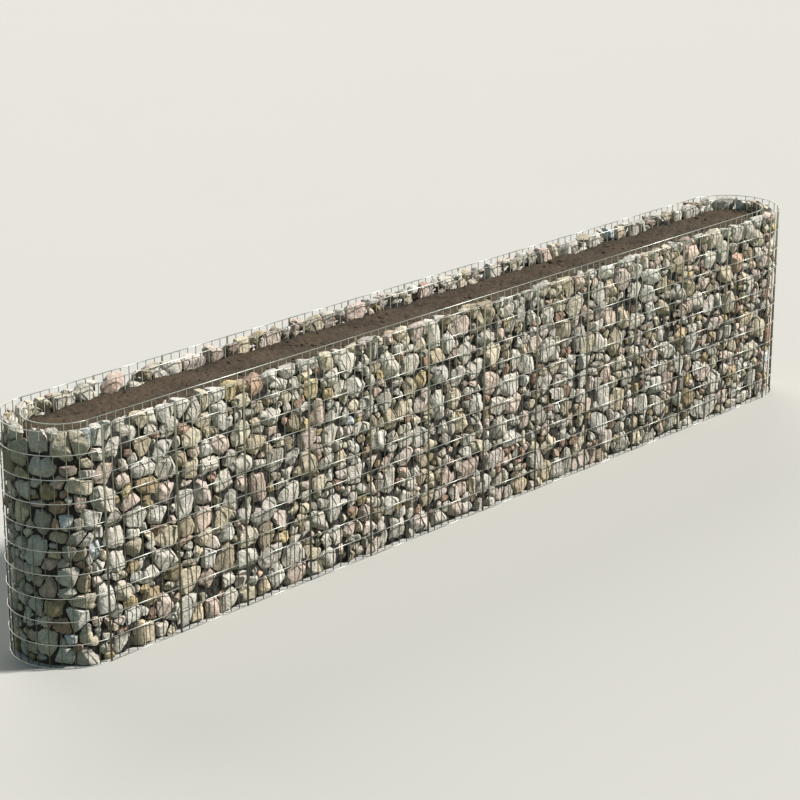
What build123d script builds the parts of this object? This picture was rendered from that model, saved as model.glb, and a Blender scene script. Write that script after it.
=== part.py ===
"""Gabion raised bed: a double cage of welded wire mesh with rounded ends, stones between, soil inside.

Frame: origin on the ground at the middle of the bed, +X along its length, -Y to its front, +Z up.
All sizes are in millimetres.
"""
from build123d import *
import os
from math import cos, radians, sin

# Overall size over the level wires of the outer cage
overall_length = 5000.0
overall_width = 500.0
overall_height = 1000.0

# Bays along the straight sides, one outer mesh panel to a bay
bay_count = 12
bays_per_group = 3
bays_per_inner_panel = 4

# Mesh: square bars stand for round wires, the level wires outside and the upright wires behind them
wire = 4.0
edge_wire = 5.0
level_wires = 11
upright_spaces_per_bay = 8
upright_spaces_per_arch = 15
panel_gap = 0.6
weld_gap = 0.2

# Stone wall between the two cages, from wire centre to wire centre
cage_spacing = 90.0
fill_clearance = 0.3
fill_below_rim = 12.0
fill_segments_per_arch = 3

# Soil in the trough
soil_clearance = 0.3
soil_below_rim = 50.0

# Places that follow from the sizes above
end_radius = overall_width / 2
straight_length = overall_length - overall_width
bay_length = straight_length / bay_count
level_pitch = (overall_height - wire) / (level_wires - 1)
upright_pitch = bay_length / upright_spaces_per_bay
arch_step = 180.0 / upright_spaces_per_arch

# Middle lines of the wires, measured from the bed's middle or from the centre of a rounded end
outer_line = end_radius - wire / 2
inner_line = outer_line - cage_spacing
outer_upright_line = outer_line - wire - weld_gap
inner_upright_line = inner_line + wire + weld_gap

# The level wires of a rounded end bend halfway between its upright wires, and these bends set its reach
bend_inset = end_radius * (1 - cos(radians(arch_step / 2)))
outer_arch_line = outer_line - bend_inset
outer_arch_upright_line = outer_upright_line - bend_inset

# Faces of the stones and the soil, clear of the wires
fill_outer = outer_upright_line - wire / 2 - fill_clearance
fill_outer_arch = fill_outer - bend_inset
fill_inner = inner_upright_line + wire / 2 + fill_clearance
fill_height = overall_height - fill_below_rim
soil_radius = inner_line - edge_wire / 2 - soil_clearance
soil_height = overall_height - soil_below_rim

os.makedirs("parts", exist_ok=True)


def save(piece, name):
    """Labels one finished piece and writes it."""
    piece.label = name
    export_step(piece, f"parts/{name}.step")


def sector(centre_x, inner, outer, start, span):
    """Face of a ring sector about an end of the trough, with angles in degrees from +X."""
    with BuildLine() as outline:
        outer_arc = CenterArc((centre_x, 0), outer, start, span)
        inner_arc = CenterArc((centre_x, 0), inner, start, span)
        Line(outer_arc @ 0, inner_arc @ 0)
        Line(outer_arc @ 1, inner_arc @ 1)
    make_face(outline.edges())


def flat_mesh(middle_plane, start_x, panel_count, panel_length):
    """Flat panels side by side, each one frame of level wires welded between two thicker edge wires."""
    edge_spacing = panel_length - panel_gap - edge_wire
    with BuildPart() as mesh:
        for panel in range(panel_count):
            middle = (start_x + (panel + 0.5) * panel_length, overall_height / 2)
            with BuildSketch(middle_plane):
                with Locations(middle):
                    with GridLocations(0, level_pitch, 1, level_wires):
                        Rectangle(edge_spacing, wire)
            extrude(amount=wire / 2, both=True)
            with BuildSketch(middle_plane):
                with Locations(middle):
                    with GridLocations(edge_spacing, 0, 2, 1):
                        Rectangle(edge_wire, overall_height)
            extrude(amount=edge_wire / 2, both=True)
    return mesh.part


def bent_line(centre_x, start, line):
    """Points of a level wire round an end: straight past each upright wire, with a bend between each two."""
    bends = [start + (space + 0.5) * arch_step for space in range(upright_spaces_per_arch)]
    bend_radius = line / cos(radians(arch_step / 2))
    points = [(centre_x + bend_radius * cos(radians(bend)), bend_radius * sin(radians(bend))) for bend in bends]
    side = 1 if start > 0 else -1
    reach = centre_x - side * edge_wire / 2
    return [(reach, side * line)] + points + [(reach, -side * line)]


def arch_mesh(centre_x, start, level_line, edge_line):
    """Half-round panel: level wires bent round an end and welded between two thicker edge wires."""
    outer_points = bent_line(centre_x, start, level_line + wire / 2)
    inner_points = bent_line(centre_x, start, level_line - wire / 2)
    edge_x = outer_points[0][0]
    with BuildPart() as mesh:
        for level in range(level_wires):
            with BuildSketch(Plane.XY.offset(level * level_pitch)):
                Polygon(*outer_points, *reversed(inner_points), align=None)
            extrude(amount=wire)
        with BuildSketch():
            with Locations((edge_x, edge_line), (edge_x, -edge_line)):
                Rectangle(edge_wire, edge_wire)
        extrude(amount=overall_height)
    return mesh.part


def straight_uprights(middle_y):
    """Upright wires between the panels' edges, all along one straight side."""
    places = []
    for space in range(1, bay_count * upright_spaces_per_bay):
        if space % upright_spaces_per_bay:
            places.append((space * upright_pitch - straight_length / 2, middle_y))
    with BuildPart() as uprights:
        with BuildSketch():
            with Locations(*places):
                Rectangle(wire, wire)
        extrude(amount=overall_height)
    return uprights.part


def arch_uprights(centre_x, start, radius):
    """Upright wires round one end, turned to face its centre."""
    with BuildPart() as uprights:
        with BuildSketch():
            with Locations((centre_x, 0)):
                with PolarLocations(radius, upright_spaces_per_arch - 1, start + arch_step,
                                    180 - 2 * arch_step, endpoint=True):
                    Rectangle(wire, wire)
        extrude(amount=overall_height)
    return uprights.part


def straight_fill(start_x, length, near_y, far_y):
    """Stones of a few bays, as one block between the two cages."""
    with BuildPart() as fill:
        with BuildSketch():
            with Locations((start_x + length / 2, (near_y + far_y) / 2)):
                Rectangle(length, far_y - near_y)
        extrude(amount=fill_height)
    return fill.part


def arch_fill(centre_x, start, span):
    """Stones of one part of a rounded end."""
    with BuildPart() as fill:
        with BuildSketch():
            sector(centre_x, fill_inner, fill_outer_arch, start, span)
        extrude(amount=fill_height)
    return fill.part


# Middle planes of the level wires, whose sketches have X to the right and Z up
outer_front = Plane.XZ.offset(outer_line)
outer_back = Plane.XZ.offset(-outer_line)
inner_front = Plane.XZ.offset(inner_line)
inner_back = Plane.XZ.offset(-inner_line)

# Outer cage and stones along the straight sides
group_length = bays_per_group * bay_length
for group in range(bay_count // bays_per_group):
    group_x = group * group_length - straight_length / 2
    save(flat_mesh(outer_front, group_x, bays_per_group, bay_length), f"front_mesh_{group + 1}")
    save(flat_mesh(outer_back, group_x, bays_per_group, bay_length), f"back_mesh_{group + 1}")
    save(straight_fill(group_x, group_length, -fill_outer, -fill_inner), f"front_stones_{group + 1}")
    save(straight_fill(group_x, group_length, fill_inner, fill_outer), f"back_stones_{group + 1}")
save(straight_uprights(-outer_upright_line), "front_upright_wires")
save(straight_uprights(outer_upright_line), "back_upright_wires")

# Inner cage along the straight sides
inner_panel_length = bays_per_inner_panel * bay_length
for panel in range(bay_count // bays_per_inner_panel):
    panel_x = panel * inner_panel_length - straight_length / 2
    save(flat_mesh(inner_front, panel_x, 1, inner_panel_length), f"inner_front_mesh_{panel + 1}")
    save(flat_mesh(inner_back, panel_x, 1, inner_panel_length), f"inner_back_mesh_{panel + 1}")
save(straight_uprights(-inner_upright_line), "inner_front_upright_wires")
save(straight_uprights(inner_upright_line), "inner_back_upright_wires")

# Rounded ends: each is a half circle about an end of the straight sides
fill_span = 180.0 / fill_segments_per_arch
for side, centre_x, start in (("left", -straight_length / 2, 90), ("right", straight_length / 2, -90)):
    save(arch_mesh(centre_x, start, outer_arch_line, outer_line), f"{side}_arch_mesh")
    save(arch_uprights(centre_x, start, outer_arch_upright_line), f"{side}_arch_upright_wires")
    save(arch_mesh(centre_x, start, inner_line, inner_line), f"inner_{side}_arch_mesh")
    save(arch_uprights(centre_x, start, inner_upright_line), f"inner_{side}_arch_upright_wires")
    for segment in range(fill_segments_per_arch):
        save(arch_fill(centre_x, start + segment * fill_span, fill_span), f"{side}_arch_stones_{segment + 1}")

# Soil that fills the trough to a little under the rim
with BuildPart() as soil:
    with BuildSketch():
        SlotCenterToCenter(straight_length, 2 * soil_radius)
    extrude(amount=soil_height)
save(soil.part, "soil_fill")
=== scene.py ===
from math import cos, degrees, pi, radians, sin, sqrt

import bpy
import numpy as np
from bpy.props import FloatProperty, FloatVectorProperty, IntProperty, PointerProperty
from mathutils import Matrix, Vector


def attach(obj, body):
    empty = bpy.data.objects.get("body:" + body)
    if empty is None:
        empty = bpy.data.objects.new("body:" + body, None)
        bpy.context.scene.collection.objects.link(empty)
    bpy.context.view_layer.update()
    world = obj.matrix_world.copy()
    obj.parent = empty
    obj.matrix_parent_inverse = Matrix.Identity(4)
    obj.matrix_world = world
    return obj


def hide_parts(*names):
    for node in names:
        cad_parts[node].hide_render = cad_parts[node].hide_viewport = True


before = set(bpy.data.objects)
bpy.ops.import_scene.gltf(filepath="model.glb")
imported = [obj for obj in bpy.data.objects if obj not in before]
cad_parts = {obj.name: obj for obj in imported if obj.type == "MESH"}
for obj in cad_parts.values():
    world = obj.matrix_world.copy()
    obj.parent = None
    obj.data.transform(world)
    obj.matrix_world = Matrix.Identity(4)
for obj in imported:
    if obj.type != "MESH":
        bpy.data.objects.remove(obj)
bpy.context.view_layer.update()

bl_info = {
    "name": "Gabion raised bed",
    "version": (1, 0, 0),
    "blender": (4, 5, 0),
    "location": "3D View > Sidebar > Gabion bed",
    "description": "Builds a round-ended gabion raised bed: welded wire cages, packed stones and soil",
    "category": "Add Mesh",
}

# Sizes of the cages, in metres, the same as the CAD model's
OVERALL_LENGTH = 5.0
OVERALL_WIDTH = 0.5
OVERALL_HEIGHT = 1.0
BAYS = 12
BAYS_PER_GROUP = 3
BAYS_PER_INNER_PANEL = 4
SPACES_PER_BAY = 8
SPACES_PER_ARCH = 15
LEVELS = 11
LEVEL_WIRE = 0.004
EDGE_WIRE = 0.005
PANEL_GAP = 0.0006
WELD_GAP = 0.0002
FILL_CLEARANCE = 0.0003
CAGE_SPACING = 0.09

END_RADIUS = OVERALL_WIDTH / 2
STRAIGHT = OVERALL_LENGTH - OVERALL_WIDTH
BAY = STRAIGHT / BAYS
LEVEL_PITCH = (OVERALL_HEIGHT - LEVEL_WIRE) / (LEVELS - 1)
OUTER_LINE = END_RADIUS - LEVEL_WIRE / 2
INNER_LINE = OUTER_LINE - CAGE_SPACING
OUTER_UPRIGHT_LINE = OUTER_LINE - LEVEL_WIRE - WELD_GAP
INNER_UPRIGHT_LINE = INNER_LINE + LEVEL_WIRE + WELD_GAP
SOIL_RADIUS = INNER_LINE - EDGE_WIRE / 2 - FILL_CLEARANCE

# Names, centres and starting angles of the rounded ends, and the long sides with the way they face
ENDS = (("left", -STRAIGHT / 2, 90), ("right", STRAIGHT / 2, -90))
SIDES = (("front", -1), ("back", 1))

# Corners round a wire, and points along a level wire round an end
WIRE_CORNERS = 8
ARCH_POINTS = 37

# The stone wall is laid out unrolled: along its run, through its thickness, and up. The run is measured at
# RUN_RADIUS round the ends
STONE_OUTER = OUTER_UPRIGHT_LINE - LEVEL_WIRE / 2 - FILL_CLEARANCE
STONE_INNER = INNER_UPRIGHT_LINE + LEVEL_WIRE / 2 + FILL_CLEARANCE
WALL_MIDDLE = (STONE_OUTER + STONE_INNER) / 2
WALL_HALF = (STONE_OUTER - STONE_INNER) / 2
RUN_RADIUS = 0.225
ARCH_RUN = pi * RUN_RADIUS
WALL_RUN = 2 * (STRAIGHT + ARCH_RUN)
STONE_PARTS_PER_ARCH = 3

# Share of the stones that are large blocks, how large they are between the smallest and the largest size, and
# how the others spread and how large they get
BLOCK_SHARE = 0.28
BLOCK_SIZES = (0.62, 1.0)
SIZE_MIX = (1.1, 2.0)
OTHERS_LARGEST = 0.8

# Long and short side of a stone, as shares of its middle one, and how boxy it is: two would make it oval
LONG_SIDE = (1.05, 1.65)
SHORT_SIDE = (0.62, 0.95)
CORNER_POWER = 3.8

# Ways a stone lies, as the run, depth and height parts of its long, middle and short side
LAID_FLAT = ((1, 0, 0), (0, 1, 0), (0, 0, 1))
FACING_OUT = ((1, 0, 0), (0, 0, 1), (0, 1, 0))
UPRIGHT = ((0, 1, 0), (0, 0, 1), (1, 0, 0))

# Odds up to which a stone is laid flat, and up to which it faces out, for stones over and under BIG_SHARE of
# the largest size. The rest stand upright
BIG_SHARE = 0.6
BIG_LAY = (0.0, 0.6)
SMALL_LAY = (0.58, 0.8)

# How far stones are turned at random about the depth axis, the run and the upright axis, in radians
TURN_SPREAD = (0.40, 0.22, 0.30)

# Steps of an even scatter over a rectangle: no two places fall close together
EVEN_STEPS = (0.7548776662466927, 0.5698402909980532)

# How often stones are pushed apart, by what share of their overlap each gives way, how tightly they pack, and
# how far along the run they look for others, as a share of the largest stone
PUSHES = 80
PUSH_SHARE = 0.27
PACKED = 0.95
LOOKED_OVER = 2.6

# How much of a stone's half depth and half height stays in the wall, and the least play through its thickness
DEPTH_KEPT = 0.72
HEIGHT_KEPT = 0.85
LEAST_PLAY = 0.003

# Chinking stones, small ones for the holes between the others: the length of wall that is looked over at a
# time, how far beyond it others count, how many spots are tried there, how far behind the outer cage and how
# high they lie, and the least room that is worth a stone
CHINK_STRIP = 0.12
CHINK_BEYOND = 0.09
CHINK_SPOTS = 220
CHINK_DEPTHS = (0.012, 0.034)
CHINK_HEIGHTS = (0.015, OVERALL_HEIGHT - 0.02)
CHINK_ROOM = 0.006

# They keep apart by a share of their rooms and a little more. They are larger than their room by CHINK_MORE,
# but within two limits, and are turned at random by CHINK_TURN, in radians
CHINK_APART, CHINK_SPACE = 0.7, 0.010
CHINK_MORE, CHINK_SIZES = 0.008, (0.014, 0.03)
CHINK_LONG, CHINK_SHORT = (1.0, 1.5), (0.7, 1.0)
CHINK_TURN = 0.7

# Waves a metre along the run and up, that add up to where the wall is loosely filled. Half their mean height
# counts, as far as it is over SLACK_FROM, times how deep that goes
SLACK_WAVES = ((2.6, 1.1), (-1.7, 2.9), (4.3, -1.9), (3.1, 4.7))
SLACK_FROM, SLACK_DEPTH = 0.05, 0.022

# How far stones stand back from a cage, in metres: on average, at most more for small ones and at most for
# known ones, all of it times BACK_SCALE, and at most for all. Stones count as small from the first of
# SMALL_SIZES down, and fully so when they are smaller than that by the second
BACK_MEAN, BACK_SMALL, BACK_KNOWN, BACK_MOST = 0.005, 0.018, 0.008, 0.034
BACK_SCALE = 1.25
SMALL_SIZES = (0.034, 0.016)

# How far off neighbours are looked for, as a share of the longest half sides of both, how much the straight
# way between two stones counts in the slope of their contact, how much the one in front overlaps the other,
# and how far in front it does so in full
NEIGHBOUR_SHARE = 1.35
STRAIGHT_SHARE = 0.35
OVERLAP, FULL_OVERLAP_STEP = 0.8, 0.010

# Gaps between neighbours: the least, and how much wider they are on average. Crevices open towards the cages
# by slopes round a middle, with a spread and a limit, and start within a range of shares of the room, between
# stones that lie beside each other: where their contact faces a cage by less than SIDEWAYS
GAP_LEAST, GAP_MORE = 0.0002, 0.0009
CREVICE_SLOPE, CREVICE_SPREAD, CREVICE_STEEPEST = -0.02, 0.20, 0.6
CREVICE_START = (0.98, 1.10)
SIDEWAYS = 0.75

# Where a stone's own faces and its broken corners are cut, as shares of how far it reaches, how many corners
# are broken, and how unevenly each lies between the three sides
OWN_FACES = (1.15, 1.90)
BROKEN_CORNERS, CORNER_CUT, CORNER_SKEW = 5, (1.0, 1.70), (0.3, 1.0)

# How much is spared of a stone's middle from broken faces and from all others, as shares of its size
SPARED_BY_BREAKS, SPARED = 0.42, 0.38

# Play of the broken faces behind a cage and of the tops under the rim, and how far stones keep inside the bed
FACE_PLAY, TOP_PLAY, TOP_LEAN = 0.005, 0.016, 0.25
END_MARGIN, LAST_MARGIN = 0.003, 0.001

# Facets spread round from the first one by half turns times a share, and their steepness varies by another
FACET_TURN, FACET_LEAN = (0.6, 1.1), (0.7, 1.3)

# Ways a stone is broken towards a cage: how steep each facet is, and how far from its middle it is cut, as
# shares of its size
BROKEN_FACES = (
    ((0.12, 0.0), (0.60, 0.75)),
    ((0.28, 0.0), (0.75, 0.60)),
    ((0.38, 0.12), (0.38, 0.12)),
    ((0.50, 0.22), (0.28, 0.08), (0.90, 0.70)),
    ((0.18, 0.0), (0.60, 0.42), (0.85, 0.55)),
    ((0.55, 0.15), (0.50, 0.15), (0.45, 0.20)),
)

# Edges from worn round to freshly split, and how many stones have each
EDGE_SHARPNESS = (22.0, 40.0, 70.0, 120.0)
SHARPNESS_ODDS = (0.15, 0.25, 0.35, 0.25)

# Hollows between broken ridges, and ripples over them: how many waves they are made of, the length of those
# in metres, and how deep they go, as a share. Where a stone doesn't show, only HIDDEN_ROUGH of that is left
HOLLOW_WAVES, HOLLOW_LENGTH, HOLLOW_DEPTH = 3, 0.095, 0.13
RIPPLE_WAVES, RIPPLE_LENGTH, RIPPLE_DEPTH = 5, 0.040, 0.06
HIDDEN_ROUGH = 0.12

# Stones are made from two balls, divided coarsely and finely. The coarse one is for stones under FINE_SIZE
# and for hidden ones, which reach out less than HIDDEN_REACH from the wall's middle and lie lower than
# HIDDEN_BELOW. The points of both are crowded towards the side that shows
BALL_FINENESS = (2, 4)
FINE_SIZE = 0.0165
HIDDEN_REACH, HIDDEN_BELOW = 0.016, 0.90
CROWDING = 0.33

# Edges of stones that bend by more degrees than this stay crisp
STONE_CREASE = 35

# How much the grain's size varies from stone to stone, and how far it is shifted, in metres
GRAIN_SCALE, GRAIN_SHIFT = (0.7, 1.7), 5

# Stones that stand out at the near end: place along the run in upright spaces from the first seam, and up in
# levels, width and height in millimetres, kind, and tone from dark to light. They are all as deep, and are
# turned less about the depth axis
KNOWN_HALF_DEPTH = 0.034
KNOWN_SPIN = 0.4
KNOWN_STONES = (
    (-8.2, 9.6, 120, 75, "limestone", 0.2), (-5.4, 9.5, 100, 95, "quartzite", 0.9),
    (-3.2, 9.2, 115, 140, "sandstone", 0.7), (-1.0, 9.5, 55, 90, "quartz", 0.8),
    (-1.2, 8.5, 50, 60, "sandstone", 0.5), (-2.0, 7.6, 120, 80, "sandstone", 0.8),
    (-4.7, 7.4, 95, 75, "ochre", 0.3), (-7.1, 7.4, 100, 95, "limestone", 0.3),
    (-3.9, 6.8, 85, 60, "ironstone", 0.5), (-3.2, 6.2, 60, 40, "quartz", 0.9),
    (-4.0, 5.5, 90, 60, "sandstone", 0.4), (-0.9, 4.8, 50, 120, "quartz", 0.6),
    (-3.2, 3.9, 140, 80, "limestone", 0.6), (-2.0, 2.7, 120, 80, "sandstone", 0.8),
    (-4.7, 2.5, 95, 75, "ochre", 0.3), (-3.9, 1.8, 85, 60, "ironstone", 0.5),
    (-3.2, 1.2, 60, 40, "quartz", 0.9), (-3.6, 0.5, 115, 60, "limestone", 0.7),
    (0.9, 9.6, 90, 70, "limestone", 0.9), (1.5, 8.8, 140, 110, "limestone", 0.5),
    (4.7, 9.6, 80, 60, "sandstone", 0.6), (4.8, 8.5, 85, 80, "sandstone", 0.3),
    (4.8, 7.6, 150, 75, "limestone", 0.7), (2.9, 6.8, 65, 45, "ochre", 0.7),
    (5.1, 6.8, 120, 60, "ochre", 0.2), (3.7, 5.6, 115, 90, "limestone", 0.6),
    (6.2, 5.4, 110, 95, "limestone", 0.8), (1.4, 5.1, 130, 100, "limestone", 0.5),
    (1.4, 4.0, 130, 110, "limestone", 0.6), (4.8, 2.9, 150, 75, "limestone", 0.7),
    (7.9, 2.6, 70, 65, "ochre", 0.1), (2.9, 2.1, 65, 45, "ochre", 0.7),
    (5.1, 2.0, 120, 60, "ochre", 0.2), (1.4, 0.5, 120, 75, "limestone", 0.8),
    (9.4, 9.6, 110, 60, "limestone", 0.8), (11.9, 9.6, 85, 68, "sandstone", 0.7),
    (14.8, 9.6, 90, 60, "ochre", 0.8), (9.4, 8.7, 118, 42, "ironstone", 0.9),
    (11.6, 8.7, 110, 55, "sandstone", 0.6), (14.4, 8.3, 92, 80, "limestone", 0.9),
    (11.9, 7.5, 90, 92, "limestone", 1.0), (9.2, 5.4, 115, 155, "limestone", 0.9),
    (9.2, 3.8, 118, 42, "ironstone", 0.9), (11.6, 3.7, 110, 55, "sandstone", 0.6),
    (14.2, 3.5, 92, 80, "limestone", 0.9), (11.9, 2.7, 90, 92, "limestone", 1.0),
    (9.2, 0.8, 115, 150, "limestone", 0.9),
)

# Each kind of stone: its name, its share among large and among small stones, its tints from dark to light,
# its material's name, how strongly that is bedded, mottled and cracked, and its roughness
STONE_KINDS = (
    # Split along its beds: pale and even, with faint level bands and a few dark cracks
    ("limestone", (0.52, 0.36), ("BFB8AB", "D4CCC0", "E2DBCF", "F1ECE2"),
     "Limestone, split, bedded", 0.12, 0.20, 0.24, 0.85),
    # Weathered: warm buff and quite dull, blotched where the skin has come off
    ("sandstone", (0.25, 0.28), ("B0A18B", "C4B69E", "D4C8B1", "E2D7C3"),
     "Sandstone, weathered", 0.10, 0.24, 0.20, 0.9),
    # Broken rough: pinkish, harder and so a little less dull
    ("quartzite", (0.19, 0.16), ("C0AB9D", "D4C0B2", "E2CFC3", "EDDFD4"),
     "Quartzite, rough", 0.08, 0.20, 0.24, 0.8),
    # Rusted through: brownish red with dark patches
    ("ironstone", (0.015, 0.11), ("94796A", "A98C7A", "BD9E8A", "D3B3A0"),
     "Ironstone, rusty", 0.08, 0.28, 0.22, 0.9),
    # Limestone stained by clay: yellow-brown and patchy
    ("ochre", (0.015, 0.09), ("A29177", "B5A180", "C7B28A", "D7C49C"),
     "Limestone, ochre-stained", 0.06, 0.30, 0.20, 0.9),
    # Freshly broken quartz: cool and nearly white, smoother than the others
    ("quartz", (0.003, 0.0), ("C6CDD1", "D1D8DC", "DCE1E4", "E6E9EA"),
     "Milky quartz, broken", 0.04, 0.12, 0.25, 0.6),
)
KIND_NAMES = [kind[0] for kind in STONE_KINDS]
KIND_ODDS = np.array([kind[1] for kind in STONE_KINDS]).T
KIND_ODDS = KIND_ODDS / KIND_ODDS.sum(1, keepdims=True)

# Size under which a stone's kind is drawn as a small one's, how light small and large stones are, and how far
# that varies. The most that a stone's palest channel may reach keeps sunlit faces from clipping
SMALL_KIND_SIZE = 0.027
LIGHT_SIZES, LIGHT_SHARES = (0.018, 0.040), (0.86, 1.08)
LIGHT_SPREAD = (0.72, 1.38)
PALEST = 0.68

# The wave texture's bands lie this far apart, in metres, at a scale of one
BAND_AT_SCALE_ONE = 2 * pi / 20

# Core behind the stones: half its thickness, its bottom and top, the spacing of its points, how lumpy it is,
# and its colour, near black as painted shade between the stones
CORE_HALF, CORE_BOTTOM, CORE_TOP, CORE_STEP, CORE_LUMPS = 0.011, 0.003, 0.93, 0.03, 0.009
CORE_SHADE_COLOUR = "2A2721"

# Soil: its seed, the spacing of its points, the length and height of its waves, how many there are of each
# and how their lengths vary, its fine unevenness, and how far it lies below its level on average and at
# least. Its ends are cut off at BLUNT_END of their radius, so that no face there is empty
SOIL_SEED = 11
SOIL_STEP = 0.012
SOIL_WAVES = ((0.30, 0.005), (0.09, 0.004), (0.04, 0.0035), (0.022, 0.003))
WAVES_PER_LENGTH, WAVE_SPREAD = 4, (0.7, 1.3)
SOIL_UNEVEN, SOIL_LOWER, SOIL_LEAST = 0.0025, 0.008, 0.0005
BLUNT_END = 0.9995

# Crumbs and clods: their middle and largest size, how much that spreads, and how far below the level they lie
CRUMB_SIZE, LARGEST_CRUMB, CRUMB_SPREAD, CRUMB_SUNK = 0.0045, 0.014, 0.5, 0.0095

# How many times their size they keep from the cage, and how they are stretched, flattened and made uneven
CRUMB_ROOM = 1.8
CRUMB_STRETCH, CRUMB_FLAT, CRUMB_UNEVEN = (0.7, 1.4), (1.0, 1.0, 0.5), (0.8, 1.15)

# Light that the floor throws back at the object, light from all round, and the backdrop
BOUNCE_COLOUR = "6C7466"
FILL_COLOUR = "A2D0E0"
BACKDROP_COLOUR = "F2F2F0"
FLOOR_HALF = 60

# Lamps: each its name, the setting for its strength, its softness in degrees, its colour and its way
LAMPS = (
    ("Key, front right", "key", 6, (1.0, 0.975, 0.93), (-0.604, 0.507, -0.616)),
    ("Side, left, cool", "side", 80, (0.58, 0.86, 1.0), (0.90, 0.06, -0.42)),
    ("Back, right", "back", 60, (1.0, 0.95, 0.88), (-0.45, -0.84, -0.30)),
)

# Camera fitted to the photograph: its place in metres, its angles in degrees, and its focal length in pixels
CAMERA_PLACE = (-7.8232, -7.0193, 4.0436)
CAMERA_YAW, CAMERA_PITCH = 46.998, 18.701
FOCAL_PIXELS, PHOTO_PIXELS = 2386.2, 800
SENSOR_WIDTH = 36.0


# Small helpers

def linear(hex_colour):
    """Linear RGB of an sRGB hex colour such as "9A8F7C"."""
    channels = [int(hex_colour[i:i + 2], 16) / 255 for i in (0, 2, 4)]
    return tuple(c / 12.92 if c <= 0.04045 else ((c + 0.055) / 1.055) ** 2.4 for c in channels)


def rgba(colour):
    """A colour with full alpha."""
    return (*colour[:3], 1.0)


def unit(vectors):
    """Vectors of length one."""
    return vectors / np.linalg.norm(vectors, axis=-1, keepdims=True)


def add_node(tree, kind, settings=None, inputs=None):
    """Adds a shader node, sets its settings, and sets or links its inputs."""
    node = tree.nodes.new(kind)
    for name, value in (settings or {}).items():
        setattr(node, name, value)
    for name, value in (inputs or {}).items():
        if isinstance(value, bpy.types.NodeSocket):
            tree.links.new(value, node.inputs[name])
        else:
            node.inputs[name].default_value = value
    return node


def new_material(name):
    """An empty material, with its node tree and its output."""
    material = bpy.data.materials.new(name)
    material.use_nodes = True
    material.node_tree.nodes.clear()
    output = add_node(material.node_tree, "ShaderNodeOutputMaterial")
    return material, material.node_tree, output


def piece_from(name, parts, materials, nodes):
    """Joins parts, each its vertices, faces and material number, into one piece that rides on the frame."""
    vertices, faces, numbers, offset = [], [], [], 0
    for part_vertices, part_faces, number in parts:
        vertices.append(np.asarray(part_vertices, float))
        faces.extend([tuple(i + offset for i in face) for face in part_faces])
        numbers.extend([number] * len(part_faces))
        offset += len(part_vertices)
    mesh = bpy.data.meshes.new(name)
    mesh.from_pydata(np.concatenate(vertices).tolist(), [], faces)
    return finished(name, mesh, materials, numbers, nodes)


def finished(name, mesh, materials, numbers, nodes, crease=180):
    """Turns a mesh into a smooth piece with its materials, on the frame's body, in place of its nodes.

    Edges that bend by more degrees than the crease stay crisp.
    """
    if not len(mesh.polygons):
        raise RuntimeError(f"{name} has no faces")
    for material in materials:
        mesh.materials.append(material)
    mesh.polygons.foreach_set("material_index", np.asarray(numbers, np.int32))
    mesh.polygons.foreach_set("use_smooth", np.ones(len(mesh.polygons), bool))
    if crease < 180:
        mesh.set_sharp_from_angle(angle=radians(crease))
    mesh.update()
    piece = bpy.data.objects.new(name, mesh)
    bpy.context.scene.collection.objects.link(piece)
    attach(piece, "root")
    if nodes:
        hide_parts(*nodes)
    return piece


# Wires

def wire_along(path, radius, number=0):
    """A round wire along a flat path of points, closed at both ends, with its material number."""
    sides = WIRE_CORNERS
    path = np.asarray(path, float)
    tangent = unit(np.gradient(path, axis=0))
    up = np.array((1.0, 0, 0)) if abs(tangent[0][2]) > 0.5 else np.array((0, 0, 1.0))
    across = unit(np.cross(tangent, up))
    over = np.cross(across, tangent)
    turn = np.arange(sides) * 2 * pi / sides
    ring = across[:, None, :] * np.cos(turn)[None, :, None] + over[:, None, :] * np.sin(turn)[None, :, None]
    vertices = (path[:, None, :] + radius * ring).reshape(-1, 3)
    faces = []
    for step in range(len(path) - 1):
        a, b = step * sides, (step + 1) * sides
        faces += [(a + k, b + k, b + (k + 1) % sides, a + (k + 1) % sides) for k in range(sides)]
    faces.append(tuple(range(sides)))
    faces.append(tuple(range((len(path) - 1) * sides, len(path) * sides))[::-1])
    return vertices, faces, number


def upright_wire(x, y):
    """An upright wire from the ground to the rim."""
    return wire_along([(x, y, 0), (x, y, OVERALL_HEIGHT)], LEVEL_WIRE / 2)


def edge_wire(x, y):
    """A thicker upright wire at a panel's edge, in the panel's second material."""
    return wire_along([(x, y, 0), (x, y, OVERALL_HEIGHT)], EDGE_WIRE / 2, 1)


def level_heights():
    """Heights of the middles of the level wires."""
    return [LEVEL_WIRE / 2 + level * LEVEL_PITCH for level in range(LEVELS)]


def flat_panel(y, start_x, length):
    """One flat panel: level wires between two thicker edge wires."""
    left = start_x + PANEL_GAP / 2 + EDGE_WIRE / 2
    right = start_x + length - PANEL_GAP / 2 - EDGE_WIRE / 2
    return ([edge_wire(x, y) for x in (left, right)]
            + [wire_along([(left, y, z), (right, y, z)], LEVEL_WIRE / 2) for z in level_heights()])


def arch_panel(centre_x, start, line):
    """One half-round panel: bent level wires between two thicker edge wires."""
    edge_angle = degrees(EDGE_WIRE / 2 / line)
    sweep = np.radians(np.linspace(start + edge_angle, start + 180 - edge_angle, ARCH_POINTS))
    parts = [edge_wire(centre_x + line * cos(angle), line * sin(angle)) for angle in (sweep[0], sweep[-1])]
    for z in level_heights():
        path = np.stack([centre_x + line * np.cos(sweep), line * np.sin(sweep), np.full(len(sweep), z)], 1)
        parts.append(wire_along(path, LEVEL_WIRE / 2))
    return parts


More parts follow.
